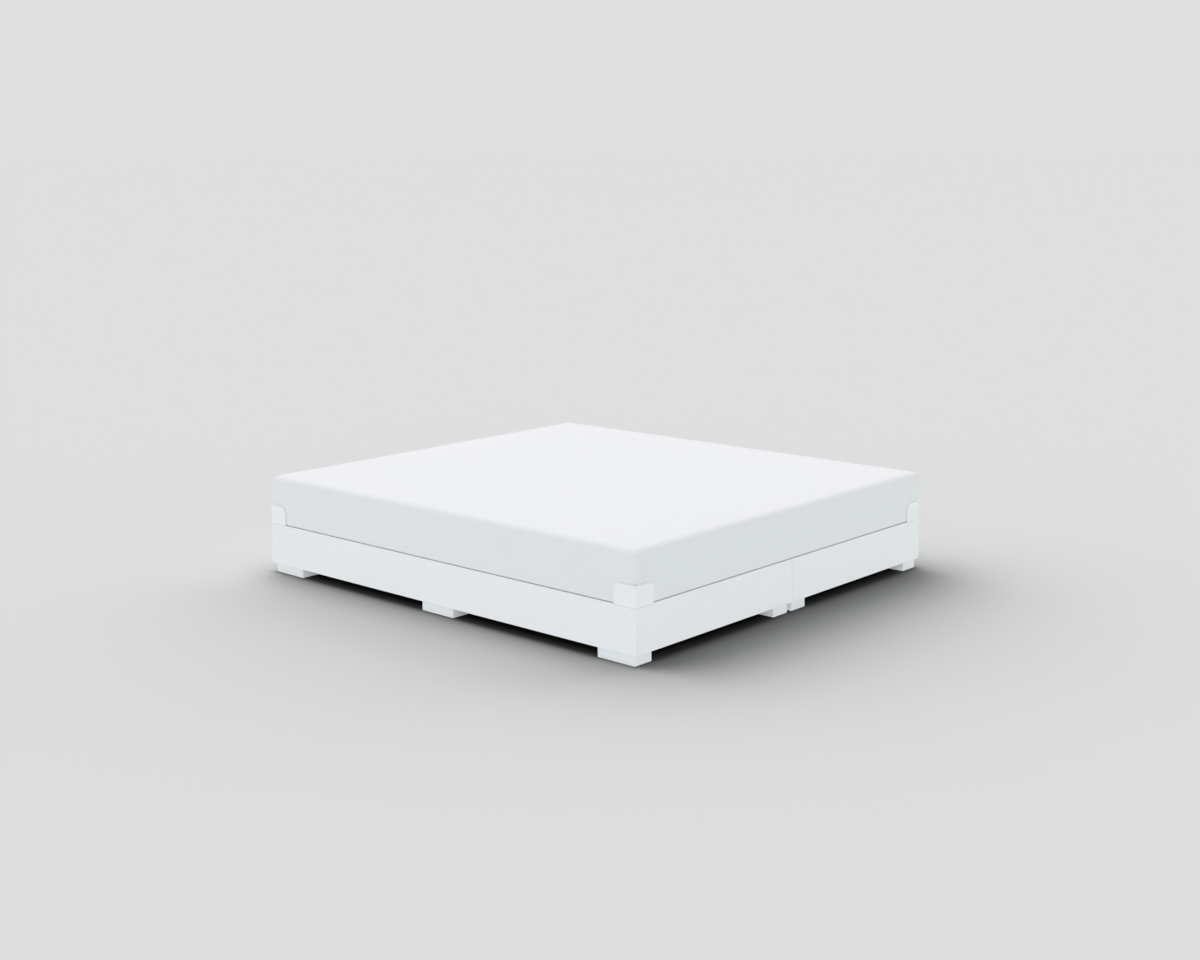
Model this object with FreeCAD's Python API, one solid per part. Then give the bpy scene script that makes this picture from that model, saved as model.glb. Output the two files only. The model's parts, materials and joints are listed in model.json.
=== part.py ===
import FreeCAD, Part
import math
import os

# A family bed: two slatted bases stand side by side on low block feet and are bolted together.
# One wide mattress covers both, and a thin plate at each outer corner keeps it in place.
# Frame: the origin is on the floor under the middle of the bed, X runs across the two bases,
# Y along the bed from its front end to its back end, and Z up. All lengths are in millimetres.

# Mattress
mattress_width = 2000.0
mattress_length = 2200.0
mattress_height = 212.0
mattress_crown = 3.0
mattress_corner_radius = 14.0
mattress_top_radius = 36.0
mattress_top_corner_radius = 44.0
mattress_bottom_radius = 5.0
mattress_clearance = 0.3
cover_thickness = 3.0
cover_wrap = 25.0
comfort_layer_height = 45.0
foam_clearance = 0.3
foam_edge_radius = 1.0
crown_inset_shares = (0.0, 0.12, 0.3, 0.6)
crown_height_shares = (0.0, 0.45, 0.8, 1.0)
crown_corner_share = 0.5
top_round_steps = 6

# Corner stops, and the clearance that leaves the mattress free between them
stop_plate = 3.0
stop_leg = 107.0
stop_height = 85.0
stop_bend_radius = 8.0
stop_corner_radius = 28.0
stop_flange_margin = 1.0
stop_side_clearance = 1.0
let_in_clearance = 0.3
stop_screw_place_shares = (0.4, 0.8)
stop_screw_radius = 2.0
stop_screw_bite = 26.0

# Rails
rail_thickness = 24.0
rail_height = 185.0
rail_corner_radius = 5.0
rail_edge_radius = 1.5
seam_radius = 1.5

# Feet, the blocks that they are screwed to, and their felt glides
foot_height = 45.0
foot_length = 188.0
foot_width = 96.0
foot_inset = 16.0
foot_edge_radius = 1.0
foot_block_height = 36.0
foot_screw_radius = 3.0
foot_screw_sink = 10.0
foot_screw_place_shares = (0.2, 0.8)
foot_screw_bite_share = 0.72
glide_thickness = 4.0
glide_recess = 3.5
glide_margin = 12.0
glide_edge_radius = 1.0

# Corner posts
post_size = 44.0
post_screw_radius = 2.5
post_screw_bite_share = 0.65
post_side_height_shares = (0.2, 0.7)
post_end_height_shares = (0.38, 0.88)

# Slats, ledges and tapes
slat_count = 15
slat_width = 90.0
slat_thickness = 20.0
slat_edge_radius = 4.0
slat_rise = 2.0
slat_end_clearance = 3.0
slat_first_margin = 10.0
slat_screw_radius = 2.0
slat_screw_place_shares = (0.25, 0.75)
slat_screw_bite_share = 0.5
ledge_width = 30.0
ledge_height = 30.0
ledge_end_clearance = 1.0
ledge_screw_count = 6
ledge_screw_radius = 2.0
ledge_screw_bite_share = 0.6
tape_width = 20.0
tape_thickness = 1.0
tape_place_shares = (0.25, 0.75)

# Cross rail at mid length
cross_thickness = 24.0
cross_clearance = 0.5
cross_screw_radius = 2.5
cross_screw_bite = 34.0
cross_screw_place_shares = (0.25, 0.75)

# Bolts that join the two bases through their inner side rails
bolt_radius = 4.0
bolt_end = 3.0
bolt_head_flats_share = 3.25
bolt_head_height_share = 1.3
nut_height_share = 1.6
washer_radius_share = 2.0
washer_thickness = 1.6
bolt_place_shares = (-0.35, -0.15, 0.15, 0.35)

# Fits and proportions that all fasteners share
screw_clearance = 0.1
bolt_clearance = 0.5
overrun = 5.0
screw_head_share = 2.0
screw_tip_share = 2.0

# Places worked out from the sizes above
stop_reach = stop_plate + stop_side_clearance
base_width = mattress_width + stop_reach + stop_reach
base_length = mattress_length + stop_reach + stop_reach
unit_width = base_width / 2
end_y = base_length / 2
rail_bottom = foot_height
rail_top = rail_bottom + rail_height
slat_top = rail_top + slat_rise
slat_bottom = slat_top - slat_thickness
ledge_bottom = slat_bottom - ledge_height
block_top = rail_bottom + foot_block_height
foot_bottom = glide_thickness - glide_recess
mattress_bottom = slat_top + mattress_clearance
foot_reach = foot_inset + foot_width
flange_reach = rail_thickness - stop_flange_margin
bolt_head_flats = bolt_radius * bolt_head_flats_share
bolt_head_height = bolt_radius * bolt_head_height_share
nut_height = bolt_radius * nut_height_share
washer_radius = bolt_radius * washer_radius_share

UP = FreeCAD.Vector(0, 0, 1)
DOWN = FreeCAD.Vector(0, 0, -1)
ACROSS = FreeCAD.Vector(1, 0, 0)
ALONG = FreeCAD.Vector(0, 1, 0)
ORIGIN = FreeCAD.Vector(0, 0, 0)


def vector(x, y, z=0):
    """A point or a direction."""
    return FreeCAD.Vector(x, y, z)


def block(low, high):
    """A box between two opposite corners."""
    size = high - low
    return Part.makeBox(size.x, size.y, size.z, low)


def closed_face(edges):
    """A flat face inside a closed chain of edges."""
    return Part.Face(Part.Wire(edges))


def line(start, end):
    """A straight edge."""
    return Part.LineSegment(start, end).toShape()


def arc(start, middle, end):
    """An arc through three points."""
    return Part.Arc(start, middle, end).toShape()


def on_circle(centre, radius, degrees):
    """The point of a circle at an angle from the X axis."""
    turn = math.radians(degrees)
    return centre + vector(radius * math.cos(turn), radius * math.sin(turn))


def mirrored_y(shape):
    """The same shape at the back end."""
    return shape.mirror(ORIGIN, ALONG)


def both_ends(shape):
    """A piece of the front end, and its twin at the back end."""
    return [shape, mirrored_y(shape)]


def ease(shape, radius, keep):
    """Rounds the edges that keep() picks by their ends."""
    chosen = [edge for edge in shape.Edges if keep([vertex.Point for vertex in edge.Vertexes])]
    return shape.makeFillet(radius, chosen)


# Mattress

def rounded_wire(width, length, radius, height):
    """A rectangle with quarter round corners, level, round the Z axis."""
    x, y = width / 2, length / 2
    edges = []
    corners = ((1, -1, -90), (1, 1, 0), (-1, 1, 90), (-1, -1, 180))
    points = []
    for side, end, degrees in corners:
        centre = vector(side * (x - radius), end * (y - radius), height)
        turns = (degrees, degrees + 45, degrees + 90)
        points.append([on_circle(centre, radius, turn) for turn in turns])
    for index, (start, middle, end) in enumerate(points):
        following = points[(index + 1) % len(points)]
        edges.append(arc(start, middle, end))
        edges.append(line(end, following[0]))
    return Part.Wire(edges)


def inner_radius(radius, inset):
    """An edge radius as it is further in, never quite sharp."""
    return max(radius - inset, foam_edge_radius)


def mattress_form(inset):
    """The mattress's outer form, drawn in all round by the inset."""
    width = mattress_width - inset - inset
    length = mattress_length - inset - inset
    low = mattress_bottom + inset
    high = mattress_bottom + mattress_height - inset
    corner = inner_radius(mattress_corner_radius, inset)
    top = inner_radius(mattress_top_radius, inset)
    top_corner = max(inner_radius(mattress_top_corner_radius, inset), corner)
    bottom = inner_radius(mattress_bottom_radius, inset)

    def section(step_in, radius, height):
        return rounded_wire(width - step_in - step_in, length - step_in - step_in, radius, height)

    wall = Part.Face(section(0, corner, low)).extrude(UP * (high - top - low))
    under = [edge for edge in wall.Edges if max(v.Point.z for v in edge.Vertexes) - low < bottom / 2]
    wall = wall.makeFillet(bottom, under)
    shoulder = []
    for step in range(top_round_steps + 1):
        turn = math.pi / 2 * step / top_round_steps
        step_in = top * (1 - math.cos(turn))
        radius = corner + (top_corner - corner) * step_in / top
        shoulder.append(section(step_in, radius, high - top + top * math.sin(turn)))
    crown = []
    half = width / 2
    for inset_share, height_share in zip(crown_inset_shares, crown_height_shares):
        radius = top_corner + crown_corner_share * inset_share * half
        crown.append(section(top + inset_share * half, radius, high + height_share * mattress_crown))
    form = wall.fuse([Part.makeLoft(shoulder, True, False), Part.makeLoft(crown, True, False)])
    return form.removeSplitter()


def cover_opening(spare):
    """The opening in the cover's underside, which the base cloth closes."""
    width = mattress_width - cover_wrap - cover_wrap - spare - spare
    length = mattress_length - cover_wrap - cover_wrap - spare - spare
    outline = rounded_wire(width, length, mattress_corner_radius, mattress_bottom)
    return Part.Face(outline).extrude(UP * cover_thickness)


def mattress_pieces():
    """The foam core, the softer layer on it, the cover round both and the cloth underneath."""
    foam = mattress_form(cover_thickness + foam_clearance)
    foam_box = foam.BoundBox
    split = mattress_bottom + mattress_height - cover_thickness - comfort_layer_height
    low = vector(foam_box.XMin - overrun, foam_box.YMin - overrun, foam_box.ZMin - overrun)
    high = vector(foam_box.XMax + overrun, foam_box.YMax + overrun, split)
    core_space = block(low, high)
    cover = mattress_form(0).cut([mattress_form(cover_thickness), cover_opening(0)])
    return {
        "mattress_core": [foam.common(core_space)],
        "mattress_comfort_layer": [foam.cut(core_space)],
        "mattress_cover": [cover],
        "mattress_base_cloth": [cover_opening(foam_clearance)],
    }


# Fasteners

def turned(profile):
    """A solid of revolution about the Z axis from a closed outline in the XZ plane."""
    points = [vector(radius, 0, height) for radius, height in profile]
    wire = Part.makePolygon(points + points[:1])
    return Part.Face(wire).revolve(ORIGIN, UP, 360)


def screw_form(radius, length, spare):
    """A countersunk wood screw pointing down, its head's top at the origin, or the hole it needs."""
    head = radius * screw_head_share + spare
    shank = radius + spare
    tip = radius * screw_tip_share
    end = -length - spare
    return turned(((0, 0), (head, 0), (shank, shank - head), (shank, end + tip), (0, end)))


def aimed(shape, point, direction):
    """Turns a shape made pointing down along a direction, and moves it to a point."""
    placed = shape.copy()
    placed.Placement = FreeCAD.Placement(point, FreeCAD.Rotation(DOWN, direction))
    return placed


def screws_and_holes(radius, length, seats):
    """One screw, and the hole for it, at each seat: a point under the head and a direction."""
    screw = screw_form(radius, length, 0)
    hole = screw_form(radius, length, screw_clearance)
    screws = [aimed(screw, point, direction) for point, direction in seats]
    holes = [aimed(hole, point, direction) for point, direction in seats]
    return screws, holes


def drilled(piece, holes):
    """The piece with every hole that reaches its box cut out."""
    reached = [hole for hole in holes if hole.BoundBox.intersect(piece.BoundBox)]
    return piece.cut(reached) if reached else piece


def hexagon(flats, height):
    """A hexagonal prism that stands on the origin."""
    corner = flats / 2 / math.cos(math.radians(30))
    points = [on_circle(ORIGIN, corner, 60 * turn) for turn in range(6)]
    wire = Part.makePolygon(points + points[:1])
    return Part.Face(wire).extrude(UP * height)


# Rails

def board_end(square, radius):
    """The corner points of a board's left end: inner corner, then the arc to its outer face."""
    centre = vector(radius, radius)
    first = 180 if square else 225
    inner = vector(0, rail_thickness) if square else vector(rail_thickness, rail_thickness)
    return [inner] + [on_circle(centre, radius, turn) for turn in (first, (first + 270) / 2, 270)]


def board(length, left, right):
    """A rail with its outer face on the XZ plane. Each end is (is it square, its corner radius)."""
    near = board_end(*left)
    far = [vector(length - point.x, point.y) for point in board_end(*right)]
    plan = closed_face([
        line(near[0], near[1]),
        arc(near[1], near[2], near[3]),
        line(near[3], far[3]),
        arc(far[3], far[2], far[1]),
        line(far[1], far[0]),
        line(far[0], near[0]),
    ]).extrude(UP * rail_height)
    return plan.common(board_section(length))


def board_section(length):
    """The rail's section, with its two outer edges rounded, drawn out along X."""
    low, high = rail_edge_radius, rail_height - rail_edge_radius
    centres = (vector(low, high), vector(low, low))
    upper = [on_circle(centres[0], low, turn) for turn in (180, 135, 90)]
    lower = [on_circle(centres[1], low, turn) for turn in (270, 225, 180)]
    inner = [vector(rail_thickness, rail_height), vector(rail_thickness, 0)]
    section = closed_face([
        arc(*upper),
        line(upper[2], inner[0]),
        line(inner[0], inner[1]),
        line(inner[1], lower[0]),
        arc(*lower),
        line(lower[2], upper[0]),
    ])
    section.Placement = FreeCAD.Placement(ORIGIN, FreeCAD.Rotation(ALONG, UP, ACROSS, "YZX"))
    return section.extrude(ACROSS * length)


def placed(shape, point, degrees):
    """A shape turned about Z and moved."""
    moved = shape.copy()
    moved.Placement = FreeCAD.Placement(point, FreeCAD.Rotation(UP, degrees)).multiply(shape.Placement)
    return moved


def rails():
    """The four rails of the right base: mitred at the outer corners, square at the seam."""
    mitre = (False, rail_corner_radius)
    seam = (True, seam_radius)
    outer = placed(board(base_length, mitre, mitre), vector(unit_width, -end_y, rail_bottom), 90)
    front = placed(board(unit_width, seam, mitre), vector(0, -end_y, rail_bottom), 0)
    inner_length = base_length - rail_thickness - rail_thickness
    seam_section = board_section(inner_length)
    inner = placed(seam_section, vector(0, end_y - rail_thickness, rail_bottom), -90)
    return {
        "outer_side_rail": outer,
        "inner_side_rail": inner,
        "front_end_rail": front,
        "back_end_rail": mirrored_y(front),
    }


# Corner stops

def angle_plan(leg, width, bend):
    """An L seen from above: its outer faces on the X and Y axes, its outer corner rounded."""
    centre = vector(bend, bend)
    outer = [on_circle(centre, bend, turn) for turn in (180, 225, 270)]
    edges = [
        line(vector(0, leg), outer[0]),
        arc(*outer),
        line(outer[2], vector(leg, 0)),
        line(vector(leg, 0), vector(leg, width)),
    ]
    if bend > width:
        inner = [on_circle(centre, bend - width, turn) for turn in (270, 225, 180)]
        edges += [line(vector(leg, width), inner[0]), arc(*inner), line(inner[2], vector(width, leg))]
    else:
        inside = vector(width, width)
        edges += [line(vector(leg, width), inside), line(inside, vector(width, leg))]
    return closed_face(edges + [line(vector(width, leg), vector(0, leg))])


def stop_corner_tool():
    """What is cut from the free upper corner of the leg along X to make it round."""
    centre = vector(stop_leg - stop_corner_radius, stop_height - stop_corner_radius)
    bend = [on_circle(centre, stop_corner_radius, turn) for turn in (0, 45, 90)]
    far = vector(stop_leg + overrun, stop_height + overrun)
    corner = closed_face([
        arc(*bend),
        line(bend[2], vector(bend[2].x, far.y)),
        line(vector(bend[2].x, far.y), far),
        line(far, vector(far.x, bend[0].y)),
        line(vector(far.x, bend[0].y), bend[0]),
    ])
    corner.Placement = FreeCAD.Placement(vector(0, stop_plate + overrun), FreeCAD.Rotation(ACROSS, 90))
    return corner.extrude(ALONG * -(stop_plate + overrun + overrun))


def stop():
    """A corner stop at the origin: an upright L of plate on a flange that is let into the rails."""
    flat = angle_plan(stop_leg, flange_reach, stop_bend_radius)
    plate = angle_plan(stop_leg, stop_plate, stop_bend_radius)
    upright = plate.extrude(UP * stop_height)
    tool = stop_corner_tool()
    swap = tool.mirror(ORIGIN, vector(1, -1).normalize())
    upright = upright.cut([tool, swap])
    flange = flat.extrude(UP * -stop_plate)
    return upright.fuse(flange).removeSplitter()


def stop_recess():
    """The shallow recess for the flange in the tops of the rails."""
    low = vector(-overrun, -overrun, -stop_plate)
    along = stop_leg + let_in_clearance
    across = flange_reach + let_in_clearance
    leg = block(low, vector(along, across, overrun))
    return leg.fuse(block(low, vector(across, along, overrun)))


def to_front_corner(shape):
    """From the origin, legs along plus X and plus Y, to the right base's outer front corner."""
    return placed(shape, vector(unit_width, -end_y, rail_top), 90)


def stop_seats():
    """Where the screws go down through a stop's flange."""
    middle = (stop_plate + flange_reach) / 2
    seats = []
    for share in stop_screw_place_shares:
        along = share * stop_leg
        seats.append((vector(unit_width - middle, -end_y + along, rail_top), DOWN))
        seats.append((vector(unit_width - along, -end_y + middle, rail_top), DOWN))
    return seats


# Feet, foot blocks and glides

def foot_places():
    """The low corner of each foot of the right base, by name."""
    outer = unit_width - foot_reach
    ends = {
        "front": -end_y + foot_inset,
        "middle": -foot_length / 2,
        "back": end_y - foot_inset - foot_length,
    }
    sides = {"outer": outer, "inner": foot_inset}
    return {
        side + "_" + end: vector(x, y, foot_bottom)
        for side, x in sides.items() for end, y in ends.items()
    }


def glide(low, spare):
    """A felt pad under a foot, or the recess for it."""
    margin = glide_margin - spare
    start = vector(low.x + margin, low.y + margin, 0)
    end = vector(low.x + foot_width - margin, low.y + foot_length - margin, glide_thickness)
    return ease(block(start, end), glide_edge_radius, is_upright)


def is_upright(ends):
    """Whether an edge runs straight up."""
    level = abs(ends[0].x - ends[-1].x) + abs(ends[0].y - ends[-1].y)
    return level < abs(ends[0].z - ends[-1].z)


def foot(low):
    """A block foot with eased upright and lower edges and a recess for its glide."""
    high = vector(low.x + foot_width, low.y + foot_length, foot_height)
    body = block(low, high)
    middle = (low.z + high.z) / 2
    body = ease(body, foot_edge_radius, lambda ends: min(end.z for end in ends) < middle)
    return body.cut(glide(low, screw_clearance))


def foot_seats(low):
    """Where two screws go up through a foot."""
    x = low.x + foot_width / 2
    height = glide_thickness + foot_screw_sink
    return [(vector(x, low.y + share * foot_length, height), UP) for share in foot_screw_place_shares]


def foot_counterbore(point):
    """The wide hole that takes a foot screw's head in."""
    radius = foot_screw_radius * screw_head_share + screw_clearance
    return Part.makeCylinder(radius, foot_screw_sink + overrun, point, DOWN)


def foot_block(low):
    """The block that a foot is screwed to: the part of the foot's outline inside the rails."""
    inner_y = end_y - rail_thickness
    start = vector(max(low.x, rail_thickness), max(low.y, -inner_y), rail_bottom)
    right = min(low.x + foot_width, unit_width - rail_thickness)
    end = vector(right, min(low.y + foot_length, inner_y), block_top)
    return block(start, end)


# Posts, ledges, slats and cross rail

def posts():
    """The four corner posts of the right base."""
    front = -end_y + rail_thickness
    shapes = []
    for left in (rail_thickness, unit_width - rail_thickness - post_size):
        low = vector(left, front, block_top)
        high = vector(left + post_size, front + post_size, ledge_bottom)
        shapes += both_ends(block(low, high))
    return shapes


def post_seats():
    """Where screws go out through the posts into the rails."""
    height = ledge_bottom - block_top
    inner_front = -end_y + rail_thickness + post_size
    middle = inner_front - post_size / 2
    seats = []
    for end in (1, -1):
        for share in post_side_height_shares:
            z = block_top + share * height
            right = unit_width - rail_thickness - post_size
            seats.append((vector(right, end * middle, z), ACROSS))
            seats.append((vector(rail_thickness + post_size, end * middle, z), ACROSS * -1))
        for share in post_end_height_shares:
            z = block_top + share * height
            for x in (rail_thickness + post_size / 2, unit_width - rail_thickness - post_size / 2):
                seats.append((vector(x, end * inner_front, z), ALONG * -end))
    return seats


def ledge(left, spare):
    """A strip along a side rail that carries the slats' ends, or the notch for it."""
    reach = end_y - rail_thickness - ledge_end_clearance
    low = vector(left - spare, -reach, ledge_bottom - spare)
    high = vector(left + ledge_width + spare, reach, slat_bottom + spare)
    return block(low, high)


def ledge_lefts():
    """Where the inner and the outer ledge start, across the base."""
    return {"inner_ledge": rail_thickness, "outer_ledge": unit_width - rail_thickness - ledge_width}


def ledge_seats():
    """Where screws go out through the ledges into the side rails."""
    length = base_length - rail_thickness - rail_thickness
    middle = (ledge_bottom + slat_bottom) / 2
    seats = []
    for index in range(ledge_screw_count):
        y = length * ((index + 0.5) / ledge_screw_count - 0.5)
        seats.append((vector(rail_thickness + ledge_width, y, middle), ACROSS * -1))
        seats.append((vector(unit_width - rail_thickness - ledge_width, y, middle), ACROSS))
    return seats


def slat_centres():
    """The slats' middle lines along the base."""
    last = end_y - rail_thickness - slat_first_margin - slat_width / 2
    return [last * (2 * index / (slat_count - 1) - 1) for index in range(slat_count)]


def slats():
    """The slats of the right base, with eased long edges."""
    left = rail_thickness + slat_end_clearance
    right = unit_width - rail_thickness - slat_end_clearance
    shapes = []
    for y in slat_centres():
        low = vector(left, y - slat_width / 2, slat_bottom)
        high = vector(right, y + slat_width / 2, slat_top)
        shapes.append(ease(block(low, high), slat_edge_radius, is_across))
    return shapes


def is_across(ends):
    """Whether an edge runs along X."""
    return abs(ends[0].x - ends[-1].x) > abs(ends[0].y - ends[-1].y) + abs(ends[0].z - ends[-1].z)


def slat_seats():
    """Where screws go down through the first and last slats into the ledges."""
    centres = slat_centres()
    seats = []
    for y in (centres[0], centres[-1]):
        for share in slat_screw_place_shares:
            along = y + (share - 0.5) * slat_width
            for left in ledge_lefts().values():
                seats.append((vector(left + ledge_width / 2, along, slat_top), DOWN))
    return seats


def tape(share, spare):
    """A tape under the slats that keeps them apart, or the notch for it."""
    centres = slat_centres()
    centre = share * unit_width
    low = vector(centre - tape_width / 2 - spare, centres[0] - slat_width / 2,
                 slat_bottom - tape_thickness - spare)
    high = vector(centre + tape_width / 2 + spare, centres[-1] + slat_width / 2, slat_bottom)
    return block(low, high)


def cross_rail():
    """The rail across the middle, on the middle foot blocks, notched for ledges and tapes."""
    low = vector(rail_thickness, -cross_thickness / 2, block_top)
    high = vector(unit_width - rail_thickness, cross_thickness / 2, slat_bottom)
    notches = [ledge(left, cross_clearance) for left in ledge_lefts().values()]
    notches += [tape(share, cross_clearance) for share in tape_place_shares]
    return block(low, high).cut(notches)


def cross_seats():
    """Where screws go up through the middle foot blocks into the cross rail."""
    block_width = foot_reach - rail_thickness
    seats = []
    for share in cross_screw_place_shares:
        reach = rail_thickness + share * block_width
        for x in (reach, unit_width - reach):
            seats.append((vector(x, 0, rail_bottom), UP))
    return seats


# Bolts between the bases

def bolt_centres():
    """Where the bolts cross the seam."""
    height = (block_top + ledge_bottom) / 2
    return [vector(0, share * base_length, height) for share in bolt_place_shares]


def bolt():
    """A hexagon bolt along X, its head in the left base."""
    reach = rail_thickness + washer_thickness
    shank = reach + reach + nut_height + bolt_end
    head = hexagon(bolt_head_flats, bolt_head_height)
    whole = head.fuse(Part.makeCylinder(bolt_radius, shank, ORIGIN, DOWN)).removeSplitter()
    return aimed(whole, vector(-reach, 0), ACROSS)


def nut():
    """The nut in the right base."""
    bore = Part.makeCylinder(bolt_radius + screw_clearance, nut_height)
    reach = rail_thickness + washer_thickness + nut_height
    return aimed(hexagon(bolt_head_flats, nut_height).cut(bore), vector(reach, 0), ACROSS)


def washer(start):
    """A washer across X that starts at a distance from the seam."""
    disc = Part.makeCylinder(washer_radius, washer_thickness, vector(start, 0), ACROSS)
    bore = Part.makeCylinder(bolt_radius + bolt_clearance, washer_thickness, vector(start, 0), ACROSS)
    return disc.cut(bore)


def bolt_holes():
    """The holes for the bolts through the right base's inner side rail."""
    length = rail_thickness + overrun
    radius = bolt_radius + bolt_clearance
    return [Part.makeCylinder(radius, length, centre, ACROSS) for centre in bolt_centres()]


def at_bolts(shape):
    """A copy of the shape at each bolt."""
    return [placed(shape, centre, 0) for centre in bolt_centres()]


def connectors():
    """Bolts, nuts and washers that clamp the two bases together."""
    washers = at_bolts(washer(rail_thickness)) + at_bolts(washer(-rail_thickness - washer_thickness))
    return {
        "connector_bolts": at_bolts(bolt()),
        "connector_nuts": at_bolts(nut()),
        "connector_washers": washers,
    }


# One base, as the right one

def base_screws(feet):
    """All screws of a base by node name, and all the holes that they need."""
    in_foot = foot_height - glide_thickness - foot_screw_sink
    foot_screw_length = in_foot + foot_screw_bite_share * foot_block_height
    post_screw_length = post_size + post_screw_bite_share * rail_thickness
    ledge_screw_length = ledge_width + ledge_screw_bite_share * rail_thickness
    slat_screw_length = slat_thickness + slat_screw_bite_share * ledge_height
    cross_screw_length = foot_block_height + cross_screw_bite
    stop_ends = stop_seats()
    stop_ends += [(vector(point.x, -point.y, point.z), way) for point, way in stop_ends]
    foot_ends = [seat for low in feet.values() for seat in foot_seats(low)]
    kinds = {
        "stop_screws": (stop_screw_radius, stop_plate + stop_screw_bite, stop_ends),
        "foot_screws": (foot_screw_radius, foot_screw_length, foot_ends),
        "frame_screws": (post_screw_radius, post_screw_length, post_seats()),
        "ledge_screws": (ledge_screw_radius, ledge_screw_length, ledge_seats()),
        "slat_screws": (slat_screw_radius, slat_screw_length, slat_seats()),
        "cross_rail_screws": (cross_screw_radius, cross_screw_length, cross_seats()),
    }
    screws, holes = {}, []
    for name, (radius, length, seats) in kinds.items():
        screws[name], drills = screws_and_holes(radius, length, seats)
        holes += drills
    holes += [foot_counterbore(point) for point, way in foot_ends]
    return screws, holes


def base_pieces():
    """Every piece of the right base: node name to its solids."""
    feet = foot_places()
    screws, holes = base_screws(feet)
    recess = to_front_corner(stop_recess())
    pieces = {name: [rail.cut(both_ends(recess))] for name, rail in rails().items()}
    pieces["inner_side_rail"] = [pieces["inner_side_rail"][0].cut(bolt_holes())]
    corner = to_front_corner(stop())
    pieces["front_corner_stop"] = [corner]
    pieces["back_corner_stop"] = [mirrored_y(corner)]
    for name, low in feet.items():
        pieces[name + "_foot"] = [foot(low)]
    pieces["foot_blocks"] = [foot_block(low) for low in feet.values()]
    pieces["corner_posts"] = posts()
    for name, left in ledge_lefts().items():
        pieces[name] = [ledge(left, 0)]
    pieces["slats"] = slats()
    pieces["cross_rail"] = [cross_rail()]
    pieces = {name: [drilled(shape, holes) for shape in shapes] for name, shapes in pieces.items()}
    pieces["glides"] = [glide(low, 0) for low in feet.values()]
    pieces["slat_tapes"] = [tape(share, 0) for share in tape_place_shares]
    pieces.update(screws)
    return pieces


def whole_bed():
    """Every node of the bed: the mattress, the two bases and what joins them."""
    nodes = mattress_pieces()
    for name, shapes in base_pieces().items():
        nodes["right_" + name] = shapes
        nodes["left_" + name] = [shape.mirror(ORIGIN, ACROSS) for shape in shapes]
    nodes.update(connectors())
    return nodes


os.makedirs("parts", exist_ok=True)
for node, shapes in whole_bed().items():
    solids = [solid for shape in shapes for solid in shape.Solids]
    for solid in solids:
        if not solid.isValid() or solid.Volume <= 0:
            print("check", node, solid.isValid(), solid.Volume)
    result = solids[0] if len(solids) == 1 else Part.makeCompound(solids)
    result.exportStep("parts/" + node + ".step")
    box = result.BoundBox
    print(node, len(solids), round(result.Volume / 1000, 1), "cm3",
          [round(v, 1) for v in (box.XMin, box.XMax, box.YMin, box.YMax, box.ZMin, box.ZMax)])
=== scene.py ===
import json
import math

import bpy
import numpy as np
from mathutils import Matrix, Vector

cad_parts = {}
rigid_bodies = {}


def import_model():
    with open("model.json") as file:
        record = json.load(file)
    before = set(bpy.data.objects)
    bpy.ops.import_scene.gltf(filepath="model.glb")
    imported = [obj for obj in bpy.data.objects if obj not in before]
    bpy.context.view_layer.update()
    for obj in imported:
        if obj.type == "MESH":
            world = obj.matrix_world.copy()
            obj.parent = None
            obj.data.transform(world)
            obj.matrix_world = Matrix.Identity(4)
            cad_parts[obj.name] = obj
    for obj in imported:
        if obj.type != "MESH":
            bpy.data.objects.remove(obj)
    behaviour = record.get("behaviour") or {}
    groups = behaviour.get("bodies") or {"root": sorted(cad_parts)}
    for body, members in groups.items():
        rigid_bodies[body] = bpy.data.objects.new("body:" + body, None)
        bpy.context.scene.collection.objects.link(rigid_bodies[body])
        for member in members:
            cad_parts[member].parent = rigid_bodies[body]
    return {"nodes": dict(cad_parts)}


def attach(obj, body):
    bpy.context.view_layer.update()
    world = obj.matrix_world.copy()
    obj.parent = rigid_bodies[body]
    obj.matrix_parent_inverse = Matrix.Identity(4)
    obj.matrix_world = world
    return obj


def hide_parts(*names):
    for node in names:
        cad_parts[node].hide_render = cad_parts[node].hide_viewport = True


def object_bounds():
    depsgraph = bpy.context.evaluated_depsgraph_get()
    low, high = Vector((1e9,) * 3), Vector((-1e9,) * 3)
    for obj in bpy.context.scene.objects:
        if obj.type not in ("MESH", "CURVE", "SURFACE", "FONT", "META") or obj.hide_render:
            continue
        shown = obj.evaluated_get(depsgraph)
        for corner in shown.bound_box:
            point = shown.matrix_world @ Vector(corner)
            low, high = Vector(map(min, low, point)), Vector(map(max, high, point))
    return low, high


# A low family bed: two slatted bases side by side on block feet, corner stops of painted plate,
# and one wide mattress over both. X runs across the bases, Y along the bed, Z up, in metres.
# The parts come in the order in which the bed is put together, from the glides up.
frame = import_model()
cad_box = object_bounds()
nodes = frame["nodes"]
bpy.context.scene.view_settings.view_transform = "Standard"


# Felt glides: grey needle felt 4 mm thick, glued into a pocket in the underside of each foot and
# half a millimetre proud of it, so that the bed slides without marks. Wear flattens the fibre.


def new_material(name):
    """An empty material with its surface shader: the tree and the shader."""
    material = bpy.data.materials.new(name)
    material.use_nodes = True
    return material, material.node_tree, material.node_tree.nodes["Principled BSDF"]


def feed(tree, node, **sockets):
    """Sets a node's inputs to values, or feeds them by outputs. An input goes by its name, with _
    for a space, or by its number after a _."""
    for name, value in sockets.items():
        key = int(name[1:]) if name[0] == "_" else name.replace("_", " ")
        if isinstance(value, bpy.types.NodeSocket):
            tree.links.new(value, node.inputs[key])
        else:
            node.inputs[key].default_value = value


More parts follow.
